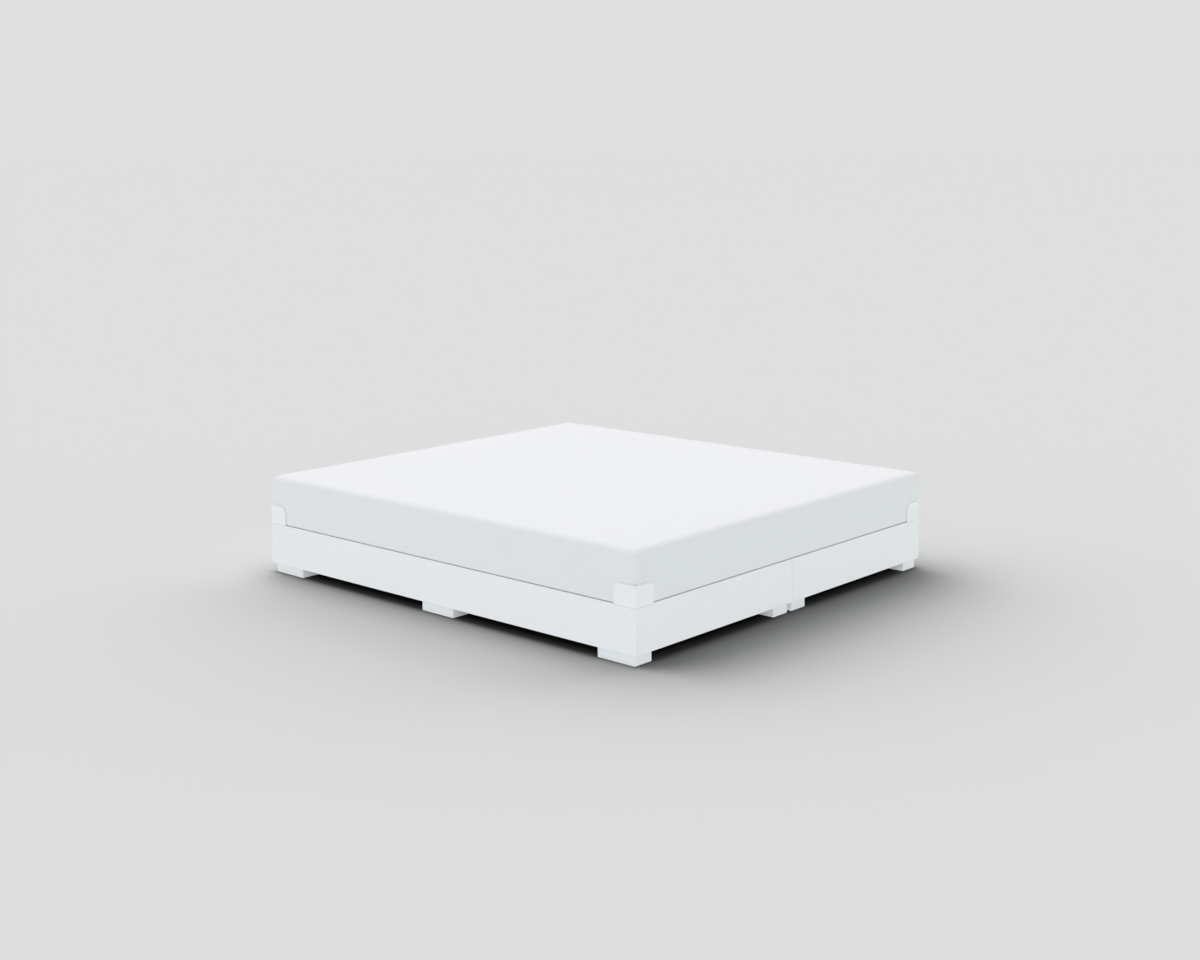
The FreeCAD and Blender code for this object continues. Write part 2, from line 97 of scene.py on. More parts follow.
def add(tree, kind, settings=None, **sockets):
    """A shader node with its settings, its inputs set or fed."""
    made = tree.nodes.new("ShaderNode" + kind)
    for name, value in (settings or {}).items():
        setattr(made, name, value)
    feed(tree, made, **sockets)
    return made


def maths(tree, operation, first, second=0.0, third=0.0):
    """The result of one sum on numbers or outputs."""
    return add(tree, "Math", {"operation": operation}, _0=first, _1=second, _2=third).outputs[0]


def mixed(tree, share, first, second):
    """A colour between two, by a share from 0 to 1."""
    return add(tree, "Mix", {"data_type": "RGBA"}, _0=share, _6=first, _7=second).outputs[2]


def spread(tree, value, low, high, to_low, to_high):
    """A value carried from one range to another, and held there at its ends."""
    made = add(tree, "MapRange", {"clamp": True}, Value=value, From_Min=low, From_Max=high,
               To_Min=to_low, To_Max=to_high)
    return made.outputs["Result"]


def places(tree):
    """Object coordinates, in metres."""
    return add(tree, "TexCoord").outputs["Object"]


def noise(tree, where, scale, detail, roughness=0.5):
    """A cloudy value about 0.5, with so many clouds to a metre, and finer ones within them."""
    made = add(tree, "TexNoise", Vector=where, Scale=scale, Detail=detail, Roughness=roughness)
    return made.outputs["Fac"]


def raised(tree, shader, height, depth, strength=1.0):
    """Feeds a height to the shader's normal as a relief that is so deep, in metres."""
    bump = add(tree, "Bump", Strength=strength, Distance=depth, Height=height)
    tree.links.new(bump.outputs["Normal"], shader.inputs["Normal"])


def finish(material, *names):
    """Gives a material to the parts of both bases that have these names, or to a part named whole."""
    for name in names:
        for whole in ("left_" + name, "right_" + name, name):
            if whole in nodes:
                nodes[whole].material_slots[0].material = material


felt, tree, shader = new_material("grey_needle_felt")
here = places(tree)
fibres = noise(tree, here, 1400.0, 4.0, 0.7)
clumps = noise(tree, here, 90.0, 3.0)
share = maths(tree, "MULTIPLY_ADD", clumps, 0.5, maths(tree, "MULTIPLY", fibres, 0.5))
felt_colour = mixed(tree, share, (0.16, 0.16, 0.165, 1), (0.42, 0.42, 0.425, 1))
feed(tree, shader, Base_Color=felt_colour, Roughness=1.0, Sheen_Weight=0.3)
raised(tree, shader, fibres, 0.0006, 0.8)
finish(felt, "glides")


# Feet: twelve low blocks, lacquered white like the rails over a fine filler, each screwed up
# into its block. Their edges are eased, and the lacquer is scuffed and dusty near the floor.


def shader_group(name, inputs, outputs):
    """A new shader node group: its tree, what comes in and what goes out."""
    group = bpy.data.node_groups.new(name, "ShaderNodeTree")
    for label, kind, value in inputs:
        socket = group.interface.new_socket(label, in_out="INPUT", socket_type="NodeSocket" + kind)
        if kind == "Float":
            socket.default_value = value
    for label, kind in outputs:
        group.interface.new_socket(label, in_out="OUTPUT", socket_type="NodeSocket" + kind)
    return group, group.nodes.new("NodeGroupInput"), group.nodes.new("NodeGroupOutput")


def placed_group(tree, group, **sockets):
    """One use of a group in a material, with its own values."""
    return add(tree, "Group", {"node_tree": group}, **sockets).outputs


# The skin of a sprayed coat: a fine peel, long soft waves, and a slow drift in tone.
paint_skin, came, went = shader_group(
    "paint_skin",
    [("Vector", "Vector", None), ("Grains per metre", "Float", 600.0)],
    [("Height", "Float"), ("Drift", "Float"), ("Gloss", "Float")],
)
tree = paint_skin
here, grains = came.outputs["Vector"], came.outputs["Grains per metre"]
peel = noise(tree, here, grains, 2.0)
waves = noise(tree, here, 28.0, 1.0)
drift = noise(tree, here, 2.6, 3.0)
gloss = noise(tree, here, 11.0, 4.0)
tree.links.new(maths(tree, "MULTIPLY_ADD", waves, 1.5, peel), went.inputs["Height"])
tree.links.new(drift, went.inputs["Drift"])
tree.links.new(gloss, went.inputs["Gloss"])

# Handling: a worn line along the two level edges of a board, broken up by noise, and dust that
# gathers below a height.
handling, came, went = shader_group(
    "handling",
    [("Vector", "Vector", None), ("Low edge", "Float", 0.0), ("High edge", "Float", 1.0),
     ("Edge reach", "Float", 0.003), ("Dust height", "Float", 0.02)],
    [("Worn", "Float"), ("Dusty", "Float")],
)
tree = handling
here = came.outputs["Vector"]
height = add(tree, "SeparateXYZ", _0=here).outputs["Z"]
to_low = maths(tree, "ABSOLUTE", maths(tree, "SUBTRACT", height, came.outputs["Low edge"]))
to_high = maths(tree, "ABSOLUTE", maths(tree, "SUBTRACT", height, came.outputs["High edge"]))
nearest = maths(tree, "DIVIDE", maths(tree, "MINIMUM", to_low, to_high), came.outputs["Edge reach"])
near_edge = spread(tree, nearest, 0.0, 1.0, 1.0, 0.0)
rubs = noise(tree, here, 34.0, 5.0)
rubbed = spread(tree, rubs, 0.45, 0.7, 0.15, 1.0)
tree.links.new(maths(tree, "MULTIPLY", near_edge, rubbed), went.inputs["Worn"])
low_share = spread(tree, maths(tree, "DIVIDE", height, came.outputs["Dust height"]), 0.0, 1.0, 1.0, 0.0)
motes = noise(tree, here, 170.0, 4.0)
settled = spread(tree, motes, 0.35, 0.75, 0.3, 1.0)
tree.links.new(maths(tree, "MULTIPLY", low_share, settled), went.inputs["Dusty"])


def lacquer(name, colour, worn_colour, low_edge, high_edge, dust_height, roughness):
    """White two-part lacquer: a colour that drifts a little, worn edges, dust, a fine peel, and painted shade
    that greys the peel's hollows.
    """
    material, tree, shader = new_material(name)
    here = places(tree)
    skin = placed_group(tree, paint_skin, Vector=here, Grains_per_metre=620.0)
    use = placed_group(tree, handling, Vector=here, Low_edge=low_edge, High_edge=high_edge,
                       Edge_reach=0.004, Dust_height=dust_height)
    shade = [channel * 0.985 for channel in colour[:3]] + [1]
    base = mixed(tree, skin["Drift"], shade, colour)
    # Painted shade: where the coat's peel and waves lie low, the colour is greyed a little, standing in for
    # the shade in the hollows.
    base = mixed(tree, spread(tree, skin["Height"], 0.9, 1.6, 0.05, 0.0), base, (0.60, 0.61, 0.63, 1))
    base = mixed(tree, maths(tree, "MULTIPLY", use["Worn"], 0.35), base, worn_colour)
    base = mixed(tree, maths(tree, "MULTIPLY", use["Dusty"], 0.12), base, (0.46, 0.45, 0.43, 1))
    rough = spread(tree, skin["Gloss"], 0.3, 0.7, roughness - 0.04, roughness + 0.05)
    rough = maths(tree, "MULTIPLY_ADD", use["Dusty"], 0.2, rough)
    feed(tree, shader, Base_Color=base, Roughness=rough, IOR=1.5)
    raised(tree, shader, skin["Height"], 0.00006, 0.8)
    return material


foot_lacquer = lacquer("white_foot_lacquer", (0.848, 0.854, 0.880, 1), (0.76, 0.77, 0.78, 1),
                       low_edge=0.0005, high_edge=0.045, dust_height=0.03, roughness=0.46)
# Painted shade: where the foot meets the rail above it, a thin band of dark colour along the foot's top
# stands in for the shade under the rail's overhang.
tree = foot_lacquer.node_tree
shader = tree.nodes["Principled BSDF"]
upward = add(tree, "SeparateXYZ", _0=places(tree)).outputs["Z"]
painted_overhang_shade = spread(tree, upward, 0.0405, 0.0445, 0.0, 0.5)
under = shader.inputs["Base Color"].links[0].from_socket
feed(tree, shader, Base_Color=mixed(tree, painted_overhang_shade, under, (0.20, 0.21, 0.23, 1)))
finish(foot_lacquer, "outer_front_foot", "outer_middle_foot", "outer_back_foot",
       "inner_front_foot", "inner_middle_foot", "inner_back_foot")


# Foot blocks, corner posts and ledges: planed spruce, glued and screwed inside the rails. The
# wood is bare, with straight grain, darker late wood and a few small knots.

wood_grain, came, went = shader_group(
    "wood_grain",
    [("Vector", "Vector", None), ("Ring scale", "Float", 40.0), ("Board", "Float", 0.0)],
    [("Late wood", "Float"), ("Fibre", "Float"), ("Knot", "Float")],
)
tree = wood_grain
aside = maths(tree, "MULTIPLY", came.outputs["Board"], 0.37)
offset = add(tree, "CombineXYZ", X=came.outputs["Board"], Y=aside, Z=0.21).outputs[0]
shifted = add(tree, "VectorMath", {"operation": "ADD"}, _0=came.outputs["Vector"], _1=offset)
along = add(tree, "Mapping", _0=came.outputs["Vector"], Scale=(0.35, 1.0, 1.0)).outputs[0]
years = add(tree, "TexWave", {"wave_type": "RINGS", "rings_direction": "X"}, Vector=along,
            Scale=came.outputs["Ring scale"], Distortion=5.0, Detail=2.0, Detail_Scale=0.12).outputs["Fac"]
late = spread(tree, years, 0.45, 1.0, 0.0, 1.0)
thin = add(tree, "Mapping", _0=shifted.outputs[0], Scale=(9.0, 420.0, 420.0)).outputs[0]
fibre = noise(tree, thin, 1.0, 3.0, 0.65)
cells = add(tree, "Mapping", _0=shifted.outputs[0], Scale=(2.6, 8.5, 8.5)).outputs[0]
eyes = add(tree, "TexVoronoi", Vector=cells, Scale=1.0, Randomness=1.0).outputs["Distance"]
knot = spread(tree, eyes, 0.03, 0.12, 1.0, 0.0)
tree.links.new(maths(tree, "MAXIMUM", late, knot), went.inputs["Late wood"])
tree.links.new(fibre, went.inputs["Fibre"])
tree.links.new(knot, went.inputs["Knot"])


def bare_wood(name, turn, early, late_colour, knot_colour, ring_scale, board_pitch=0.0):
    """Planed wood with its grain along X once it is turned. Boards a pitch apart along Y each
    get a tone of their own, and a heart of the tree that lies below them, a little to one side
    and at a slant, so that the rings run out on their faces in long pointed arches."""
    material, tree, shader = new_material(name)
    here = places(tree)
    turned = add(tree, "Mapping", _0=here, Rotation=turn).outputs[0]
    own = 0.5
    if board_pitch:
        at = add(tree, "SeparateXYZ", _0=here).outputs
        number = maths(tree, "ROUND", maths(tree, "DIVIDE", at["Y"], board_pitch))
        base_side = maths(tree, "GREATER_THAN", at["X"], 0.0)
        whole = maths(tree, "MULTIPLY_ADD", base_side, 31.0, number)
        own = add(tree, "TexWhiteNoise", {"noise_dimensions": "1D"}, W=whole).outputs["Value"]
        lean = maths(tree, "SUBTRACT", own, 0.5)
        middle = maths(tree, "SUBTRACT", at["Y"], maths(tree, "MULTIPLY", number, board_pitch))
        beside = maths(tree, "MULTIPLY_ADD", lean, 0.06, middle)
        below = maths(tree, "SUBTRACT", at["Z"], 0.18)
        deep = maths(tree, "MULTIPLY_ADD", maths(tree, "MULTIPLY", lean, 0.09), at["X"], below)
        turned = add(tree, "CombineXYZ", X=at["X"], Y=beside, Z=deep).outputs[0]
    grain = placed_group(tree, wood_grain, Vector=turned, Ring_scale=ring_scale,
                         Board=maths(tree, "MULTIPLY", own, 7.0))
    base = mixed(tree, maths(tree, "MULTIPLY", grain["Late wood"], 0.55), early, late_colour)
    base = mixed(tree, maths(tree, "MULTIPLY", grain["Fibre"], 0.28), base, late_colour)
    base = mixed(tree, maths(tree, "MULTIPLY", grain["Knot"], 0.7), base, knot_colour)
    tone = spread(tree, own, 0.0, 1.0, 0.0, 0.22)
    base = mixed(tree, tone, base, late_colour)
    rough = spread(tree, grain["Fibre"], 0.3, 0.7, 0.52, 0.66)
    feed(tree, shader, Base_Color=base, Roughness=rough)
    raised(tree, shader, grain["Fibre"], 0.00012, 0.5)
    return material


spruce = ((0.78, 0.62, 0.42, 1), (0.63, 0.44, 0.25, 1), (0.27, 0.14, 0.07, 1))
spruce_upright = bare_wood("spruce_upright", (0, math.radians(90), 0), *spruce, ring_scale=60.0)
spruce_lengthways = bare_wood("spruce_lengthways", (0, 0, math.radians(90)), *spruce, ring_scale=48.0)
finish(spruce_upright, "corner_posts")
finish(spruce_lengthways, "foot_blocks", "outer_ledge", "inner_ledge")


# Rails: smooth boards 24 by 185 mm, mitred at the outer corners and lacquered white all over.
# Their edges are barely eased, and the level edges are where hands and a vacuum rub them.

rail_lacquer = lacquer("white_rail_lacquer", (0.862, 0.868, 0.894, 1), (0.78, 0.79, 0.80, 1),
                       low_edge=0.045, high_edge=0.230, dust_height=0.05, roughness=0.42)
finish(rail_lacquer, "outer_side_rail", "inner_side_rail", "front_end_rail", "back_end_rail")
# Painted shade: where the two bases touch, a hairline of dark colour along the joint stands in for the shade
# in the seam.
tree = rail_lacquer.node_tree
shader = tree.nodes["Principled BSDF"]
to_joint = maths(tree, "ABSOLUTE", add(tree, "SeparateXYZ", _0=places(tree)).outputs["X"])
painted_seam_shade = spread(tree, to_joint, 0.0005, 0.0012, 0.28, 0.0)
under = shader.inputs["Base Color"].links[0].from_socket
feed(tree, shader, Base_Color=mixed(tree, painted_seam_shade, under, (0.12, 0.13, 0.15, 1)))


# Cross rails: one spruce board across each base at mid length, notched over the ledges and the
# tapes, on the middle foot blocks.

spruce_crossways = bare_wood("spruce_crossways", (0, 0, 0), *spruce, ring_scale=55.0)
finish(spruce_crossways, "cross_rail")


# Slats: fifteen planed birch slats to a base, 90 by 20 mm, their long edges eased, loose on the
# ledges but for the first and last. Each is from another plank, so tone and grain differ.

bed_length, rail_thickness = 2.208, 0.024
slat_width, end_margin, slat_count = 0.090, 0.010, 15
slat_pitch = (bed_length - 2 * rail_thickness - 2 * end_margin - slat_width) / (slat_count - 1)
birch_slats = bare_wood("birch_slats", (0, 0, 0), (0.83, 0.70, 0.52, 1), (0.70, 0.53, 0.34, 1),
                        (0.36, 0.20, 0.10, 1), ring_scale=52.0, board_pitch=slat_pitch)
finish(birch_slats, "slats")


# Tapes: undyed cotton webbing 20 mm wide, two to a base, stapled to the slats' undersides to keep
# them apart.

# Threads that cross: two waves, one along each thread direction, multiplied. A slant bends one
# of them within each column, which turns the plain weave into the columns of a knit.
threads, came, went = shader_group(
    "threads",
    [("U", "Float", 0.0), ("V", "Float", 0.0), ("Slant", "Float", 0.0)],
    [("Height", "Float")],
)
tree = threads
column = maths(tree, "PINGPONG", came.outputs["U"], 0.5)
bent = maths(tree, "MULTIPLY_ADD", column, came.outputs["Slant"], came.outputs["V"])
across = maths(tree, "COSINE", maths(tree, "MULTIPLY", came.outputs["U"], math.tau))
down = maths(tree, "COSINE", maths(tree, "MULTIPLY", bent, math.tau))
both = maths(tree, "MULTIPLY", across, down)
tree.links.new(maths(tree, "MULTIPLY_ADD", both, 0.5, 0.5), went.inputs["Height"])

webbing, tree, shader = new_material("cotton_webbing")
here = places(tree)
at = add(tree, "SeparateXYZ", _0=here)
thread_pitch = 0.0016
weave = placed_group(tree, threads, U=maths(tree, "DIVIDE", at.outputs["X"], thread_pitch),
                     V=maths(tree, "DIVIDE", at.outputs["Y"], thread_pitch), Slant=0.0)["Height"]
soil = noise(tree, here, 14.0, 4.0)
yarn = mixed(tree, weave, (0.60, 0.56, 0.47, 1), (0.80, 0.77, 0.69, 1))
yarn = mixed(tree, maths(tree, "MULTIPLY", soil, 0.2), yarn, (0.55, 0.50, 0.42, 1))
feed(tree, shader, Base_Color=yarn, Roughness=0.92, Sheen_Weight=0.2)
raised(tree, shader, weave, 0.0003)
finish(webbing, "slat_tapes")


# Screws, and the bolts, nuts and washers that clamp the two bases: zinc plated steel, a little
# mottled where the passivation is uneven.

zinc, tree, shader = new_material("zinc_plated_steel")
here = places(tree)
spangle = add(tree, "TexVoronoi", Vector=here, Scale=700.0).outputs["Color"]
tint = add(tree, "SeparateColor", _0=spangle).outputs[0]
cloud = noise(tree, here, 160.0, 4.0)
plate_colour = mixed(tree, maths(tree, "MULTIPLY_ADD", tint, 0.4, maths(tree, "MULTIPLY", cloud, 0.5)),
                     (0.56, 0.58, 0.62, 1), (0.74, 0.74, 0.72, 1))
plate_roughness = spread(tree, cloud, 0.3, 0.7, 0.26, 0.44)
feed(tree, shader, Base_Color=plate_colour, Metallic=1.0, Roughness=plate_roughness)
raised(tree, shader, cloud, 0.00004, 0.5)
finish(zinc, "stop_screws", "foot_screws", "frame_screws", "ledge_screws", "slat_screws",
       "cross_rail_screws", "connector_bolts", "connector_nuts", "connector_washers")


# Corner stops: 3 mm steel plate bent to an L, its flange let into the rails' tops, powder coated
# white. The coat is a shade brighter than the lacquer, with the fine pebble of baked powder.

powder, tree, shader = new_material("white_powder_coat")
here = places(tree)
skin = placed_group(tree, paint_skin, Vector=here, Grains_per_metre=1500.0)
use = placed_group(tree, handling, Vector=here, Low_edge=0.230, High_edge=0.315, Edge_reach=0.0025,
                   Dust_height=0.001)
coat = mixed(tree, skin["Drift"], (0.864, 0.870, 0.896, 1), (0.876, 0.882, 0.908, 1))
# Painted shade: where the powder's pebble lies low, the colour is greyed a little, standing in for the shade
# in the hollows.
coat = mixed(tree, spread(tree, skin["Height"], 0.9, 1.6, 0.08, 0.0), coat, (0.60, 0.61, 0.63, 1))
coat = mixed(tree, maths(tree, "MULTIPLY", use["Worn"], 0.25), coat, (0.82, 0.83, 0.84, 1))
# Painted shade: where the plate's foot meets the lacquer, a thin band of dark colour along the plate's lower
# edge stands in for the shade in the joint.
height = add(tree, "SeparateXYZ", _0=here).outputs["Z"]
painted_plate_joint_shade = spread(tree, height, 0.2281, 0.2287, 0.45, 0.0)
coat = mixed(tree, painted_plate_joint_shade, coat, (0.16, 0.17, 0.19, 1))
feed(tree, shader, Base_Color=coat, Roughness=spread(tree, skin["Gloss"], 0.3, 0.7, 0.44, 0.56), IOR=1.5)
raised(tree, shader, skin["Height"], 0.00006, 0.7)
finish(powder, "front_corner_stop", "back_corner_stop")


# Base cloth: the panel of stitch-bonded felt, 3 mm thick, that closes the mattress cover's
# underside inside its turned-in edge. It lies on the slats.

cover_corners = np.array(nodes["mattress_cover"].bound_box)
half_size = cover_corners.max(0)[:2]
mattress_low = cover_corners.min(0)[2]
cover_thickness = 0.003
hem_width = 0.025
clearance = 0.0003
side_corner = 0.014
corner_turns = np.radians(np.linspace(0, 90, 11))


def outline(side_steps):
    """Once round a rectangle with rounded corners. A point is the share of the way that its
    corner's centre lies out along X and Y, and the way it faces: on a corner the centre stays
    and the facing turns through a quarter, along a side the facing stays and the centre moves."""
    centres, facings = [], []
    for quarter in range(4):
        turn = corner_turns + quarter * math.pi / 2
        facing = np.stack([np.cos(turn), np.sin(turn)], 1)
        corner = np.sign(facing[len(turn) // 2])
        following = np.array([-corner[1], corner[0]])
        walk = np.linspace(0, 1, side_steps + 1)[1:-1, None]
        centres += [np.repeat(corner[None], len(turn), 0), corner + (following - corner) * walk]
        facings += [facing, np.repeat(facing[-1:], len(walk), 0)]
    return np.concatenate(centres), np.concatenate(facings)


def rings(insets, radii, heights, side_steps):
    """One rounded rectangle for each step of a profile: it is drawn in from the mattress's sides
    by the inset, has the corner radius, and lies at the height. Steps by points by 3."""
    centres, facings = outline(side_steps)
    insets, radii, heights = (np.asarray(row)[:, None, None] for row in (insets, radii, heights))
    flat = centres * (half_size - insets - radii) + facings * radii
    return np.concatenate([flat, np.broadcast_to(heights, flat.shape[:2] + (1,))], 2)


def closed_surface(name, grid):
    """A mesh from rings of points: quads between neighbours round and along, and one flat face
    over the first ring and over the last, so that it is closed."""
    steps, points = grid.shape[:2]
    index = np.arange(steps * points).reshape(steps, points)
    ring, after = index[:-1], index[1:]
    quads = np.stack([ring, after, np.roll(after, -1, 1), np.roll(ring, -1, 1)], -1).reshape(-1, 4)
    mesh = bpy.data.meshes.new(name)
    faces = quads.tolist() + [index[0].tolist(), index[-1][::-1].tolist()]
    mesh.from_pydata(grid.reshape(-1, 3).tolist(), [], faces)
    mesh.polygons.foreach_set("use_smooth", np.ones(len(faces), bool))
    mesh.update()
    piece = bpy.data.objects.new(name, mesh)
    bpy.context.scene.collection.objects.link(piece)
    return piece


def as_soft_part(piece, material, node):
    """Dresses a soft piece and puts it in place of its solid, on the mattress."""
    piece.data.materials.append(material)
    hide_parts(node)
    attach(piece, "mattress")


felt_sheet, tree, shader = new_material("stitch_bonded_felt")
here = places(tree)
stitches = add(tree, "Mapping", _0=here, Scale=(180.0, 180.0, 0.0)).outputs[0]
dots = add(tree, "TexVoronoi", Vector=stitches, Scale=1.0, Randomness=0.0).outputs["Distance"]
dimples = spread(tree, dots, 0.05, 0.4, 0.0, 1.0)
fluff = noise(tree, here, 900.0, 3.0)
patches = noise(tree, here, 5.0, 3.0)
pile = mixed(tree, dimples, (0.58, 0.59, 0.60, 1), (0.74, 0.75, 0.76, 1))
pile = mixed(tree, maths(tree, "MULTIPLY", patches, 0.15), pile, (0.60, 0.60, 0.60, 1))
feed(tree, shader, Base_Color=pile, Roughness=0.95, Sheen_Weight=0.2)
raised(tree, shader, maths(tree, "MULTIPLY_ADD", fluff, 0.3, dimples), 0.0006)

# Its profile, from the middle of the upper side round the edge to the middle of the underside: how
# far in from the hem each ring lies, and how high.
panel_steps = np.array([0.9, 0.6, 0.3, 0.1, 0.0012, 0.0004, 0, 0, 0.0004, 0.0012, 0.1, 0.3, 0.6, 0.9])
panel_rise = np.array([0.003] * 5 + [0.0027, 0.0021, 0.0009, 0.0003] + [0] * 5)
panel = closed_surface("mattress_base_panel", rings(
    hem_width + clearance + panel_steps, np.full(len(panel_steps), side_corner - clearance),
    mattress_low + panel_rise, 24))
as_soft_part(panel, felt_sheet, "mattress_base_cloth")


# Foam core: one block of firm polyurethane foam, cut to size by a saw, with open cells and
# slightly broken edges. It fills the cover up to the comfort layer.

core_inset = cover_thickness + clearance
core_corner = side_corner - core_inset
core_low = mattress_low + core_inset
core_split = mattress_low + 0.164


def foam(name, colour, dark, cells_per_metre):
    """Open-celled foam: irregular cells with thin brighter walls, and a slow drift in tone."""
    material, tree, shader = new_material(name)
    here = places(tree)
    cells = add(tree, "TexVoronoi", {"feature": "SMOOTH_F1"}, Vector=here, Scale=cells_per_metre)
    wall = spread(tree, cells.outputs["Distance"], 0.1, 0.75, 0.0, 1.0)
    drift = noise(tree, here, 6.0, 2.0)
    base = mixed(tree, wall, dark, colour)
    base = mixed(tree, maths(tree, "MULTIPLY", drift, 0.15), base, dark)
    feed(tree, shader, Base_Color=base, Roughness=0.95)
    raised(tree, shader, wall, 0.0005)
    return material


# Its rings, from the middle of the top round the edge to the middle of the underside.
broken_edge = 0.0008
core_steps = np.array([0.9, 0.4, 0.1, broken_edge, 0, 0, 0, broken_edge, 0.1, 0.4, 0.9])
core_edge = [core_split - broken_edge, (core_low + core_split) / 2, core_low + broken_edge]
core = closed_surface("mattress_foam_core", rings(
    core_inset + core_steps, np.full(len(core_steps), core_corner),
    [core_split] * 4 + core_edge + [core_low] * 4, 16))
firm_foam = foam("firm_foam", (0.83, 0.80, 0.70, 1), (0.66, 0.62, 0.50, 1), cells_per_metre=800.0)
as_soft_part(core, firm_foam, "mattress_core")


# Comfort layer: a softer, finer foam about 50 mm thick, glued on the core, its upper edge rounded
# and its top crowned as the cover shows.

mattress_high = mattress_low + 0.2184
crown_height, crown_reach, last_reach = 0.0046, 0.26, 0.93
edge_width, edge_fall = 0.032, 0.026
top_corner = 0.016


def shoulder(inset, steps):
    """The profile from the side wall up over the rounded edge and the crown, at a depth inside
    the cover: a quarter of an ellipse, wider than it is high, then a rise that flattens out by
    the power 2 over 260 mm. Insets, corner radii, heights, from the rim."""
    corner, edge, fall = side_corner - inset, edge_width - inset, edge_fall - inset
    flat_corner = top_corner - inset
    turn = np.linspace(0, math.pi / 2, steps)
    drawn = edge * (1 - np.cos(turn))
    radii = corner + (flat_corner - corner) * drawn / edge
    rise = mattress_high - inset - fall + fall * np.sin(turn)
    inward = np.concatenate([np.linspace(0, crown_reach, 14)[1:],
                             np.linspace(crown_reach, last_reach, 18)[1:]])
    crown = crown_height * (1 - np.clip(1 - inward / crown_reach, 0, 1) ** 2)
    left = half_size[0] - inset - edge - inward
    flat_radii = np.minimum(flat_corner + 0.5 * inward, 0.94 * left)
    return (inset + np.concatenate([drawn, edge + inward]), np.concatenate([radii, flat_radii]),
            np.concatenate([rise, mattress_high - inset + crown]))


insets, radii, heights = shoulder(core_inset, 8)
comfort = closed_surface("mattress_comfort_foam", rings(
    np.concatenate([insets[::-1], core_inset + np.array([0, 0.1, 0.4, 0.9])]),
    np.concatenate([radii[::-1], [core_corner] * 4]),
    np.concatenate([heights[::-1], [core_split] * 4]), 16))
soft_foam = foam("comfort_foam", (0.84, 0.86, 0.88, 1), (0.68, 0.71, 0.74, 1), cells_per_metre=1300.0)
as_soft_part(comfort, soft_foam, "mattress_comfort_layer")


# Mattress cover: a padded double knit 3 mm thick, white, drawn tight over the foam, with a soft
# round top edge and a hem turned in 25 mm underneath. It has no piping, seam or quilting.

insets, radii, heights = shoulder(0.0, 15)
hem_turn = np.linspace(0, math.pi / 2, 6)
hem_round = 0.0040
wall_heights = np.linspace(mattress_high - edge_fall, mattress_low + hem_round, 16)[1:-1]
hem_insets = hem_round * (1 - np.cos(hem_turn))
hem_heights = mattress_low + hem_round * (1 - np.sin(hem_turn))
inner_insets, inner_radii, inner_heights = shoulder(cover_thickness, 7)
# Under the mattress: in along the hem, round its end, back over it, and up inside the wall.
turned_insets = [0.015, 0.0242, hem_width, hem_width, 0.0242, 0.012, 0.0042, cover_thickness, cover_thickness]
turned_radii = [0.0115, 0.0138, side_corner, side_corner, 0.0138, 0.011, 0.0105, 0.011, 0.011]
turned_rise = np.array([0, 0, 0.0008, 0.0022, 0.003, 0.003, 0.003, 0.0042, 0.06])
cover_grid = rings(
    np.concatenate([insets[::-1], np.zeros_like(wall_heights), hem_insets, turned_insets,
                    inner_insets]),
    np.concatenate([radii[::-1], np.full_like(wall_heights, side_corner), side_corner - hem_insets,
                    turned_radii, inner_radii]),
    np.concatenate([heights[::-1], wall_heights, hem_heights, mattress_low + turned_rise,
                    inner_heights]), 64)


def softened(grid, outer_steps):
    """A tight cover is never quite flat: the outer skin sinks by up to 0.7 mm in slow waves,
    each a product of sines across and along, and more gently on the sides above the stops."""
    free_from, free_by = 0.32, 0.36
    x, y, z = (grid[:outer_steps, :, axis] for axis in range(3))
    slow = np.sin(x * 9.1 + 0.7) * np.sin(y * 7.3 + 1.9)
    slow += 0.6 * np.sin(x * 17.3 + y * 4.1) * np.sin(y * 13.7 - x * 3.3)
    above = np.clip((z - mattress_high + 0.03) / 0.03, 0, 1)
    grid[:outer_steps, :, 2] -= above * 0.00022 * (slow + 1.6)
    free = np.clip((z - free_from) / (free_by - free_from), 0, 1) * (1 - above)
    draw = 0.00016 * free * (np.sin(x * 11.0 + y * 13.0 + z * 21.0) + 1)
    grid[:outer_steps, :, 0] -= np.sign(x) * draw * (np.abs(x) > half_size[0] - 0.02)
    grid[:outer_steps, :, 1] -= np.sign(y) * draw * (np.abs(y) > half_size[1] - 0.02)
    return grid


cover = closed_surface("mattress_knit_cover", softened(cover_grid, len(insets) + len(wall_heights)))

knit, tree, shader = new_material("white_double_knit")
here = places(tree)
at = add(tree, "SeparateXYZ", _0=here)
facing = add(tree, "VectorMath", {"operation": "ABSOLUTE"}, _0=add(tree, "NewGeometry").outputs["Normal"])
facing = add(tree, "SeparateXYZ", _0=facing.outputs[0])
wale, course = 0.0013, 0.0010


def knitted(tree, first, second):
    """The knit's height on a flat side: columns along one coordinate, courses along the other."""
    return placed_group(tree, threads, U=maths(tree, "DIVIDE", first, wale),
                        V=maths(tree, "DIVIDE", second, course), Slant=0.9)["Height"]


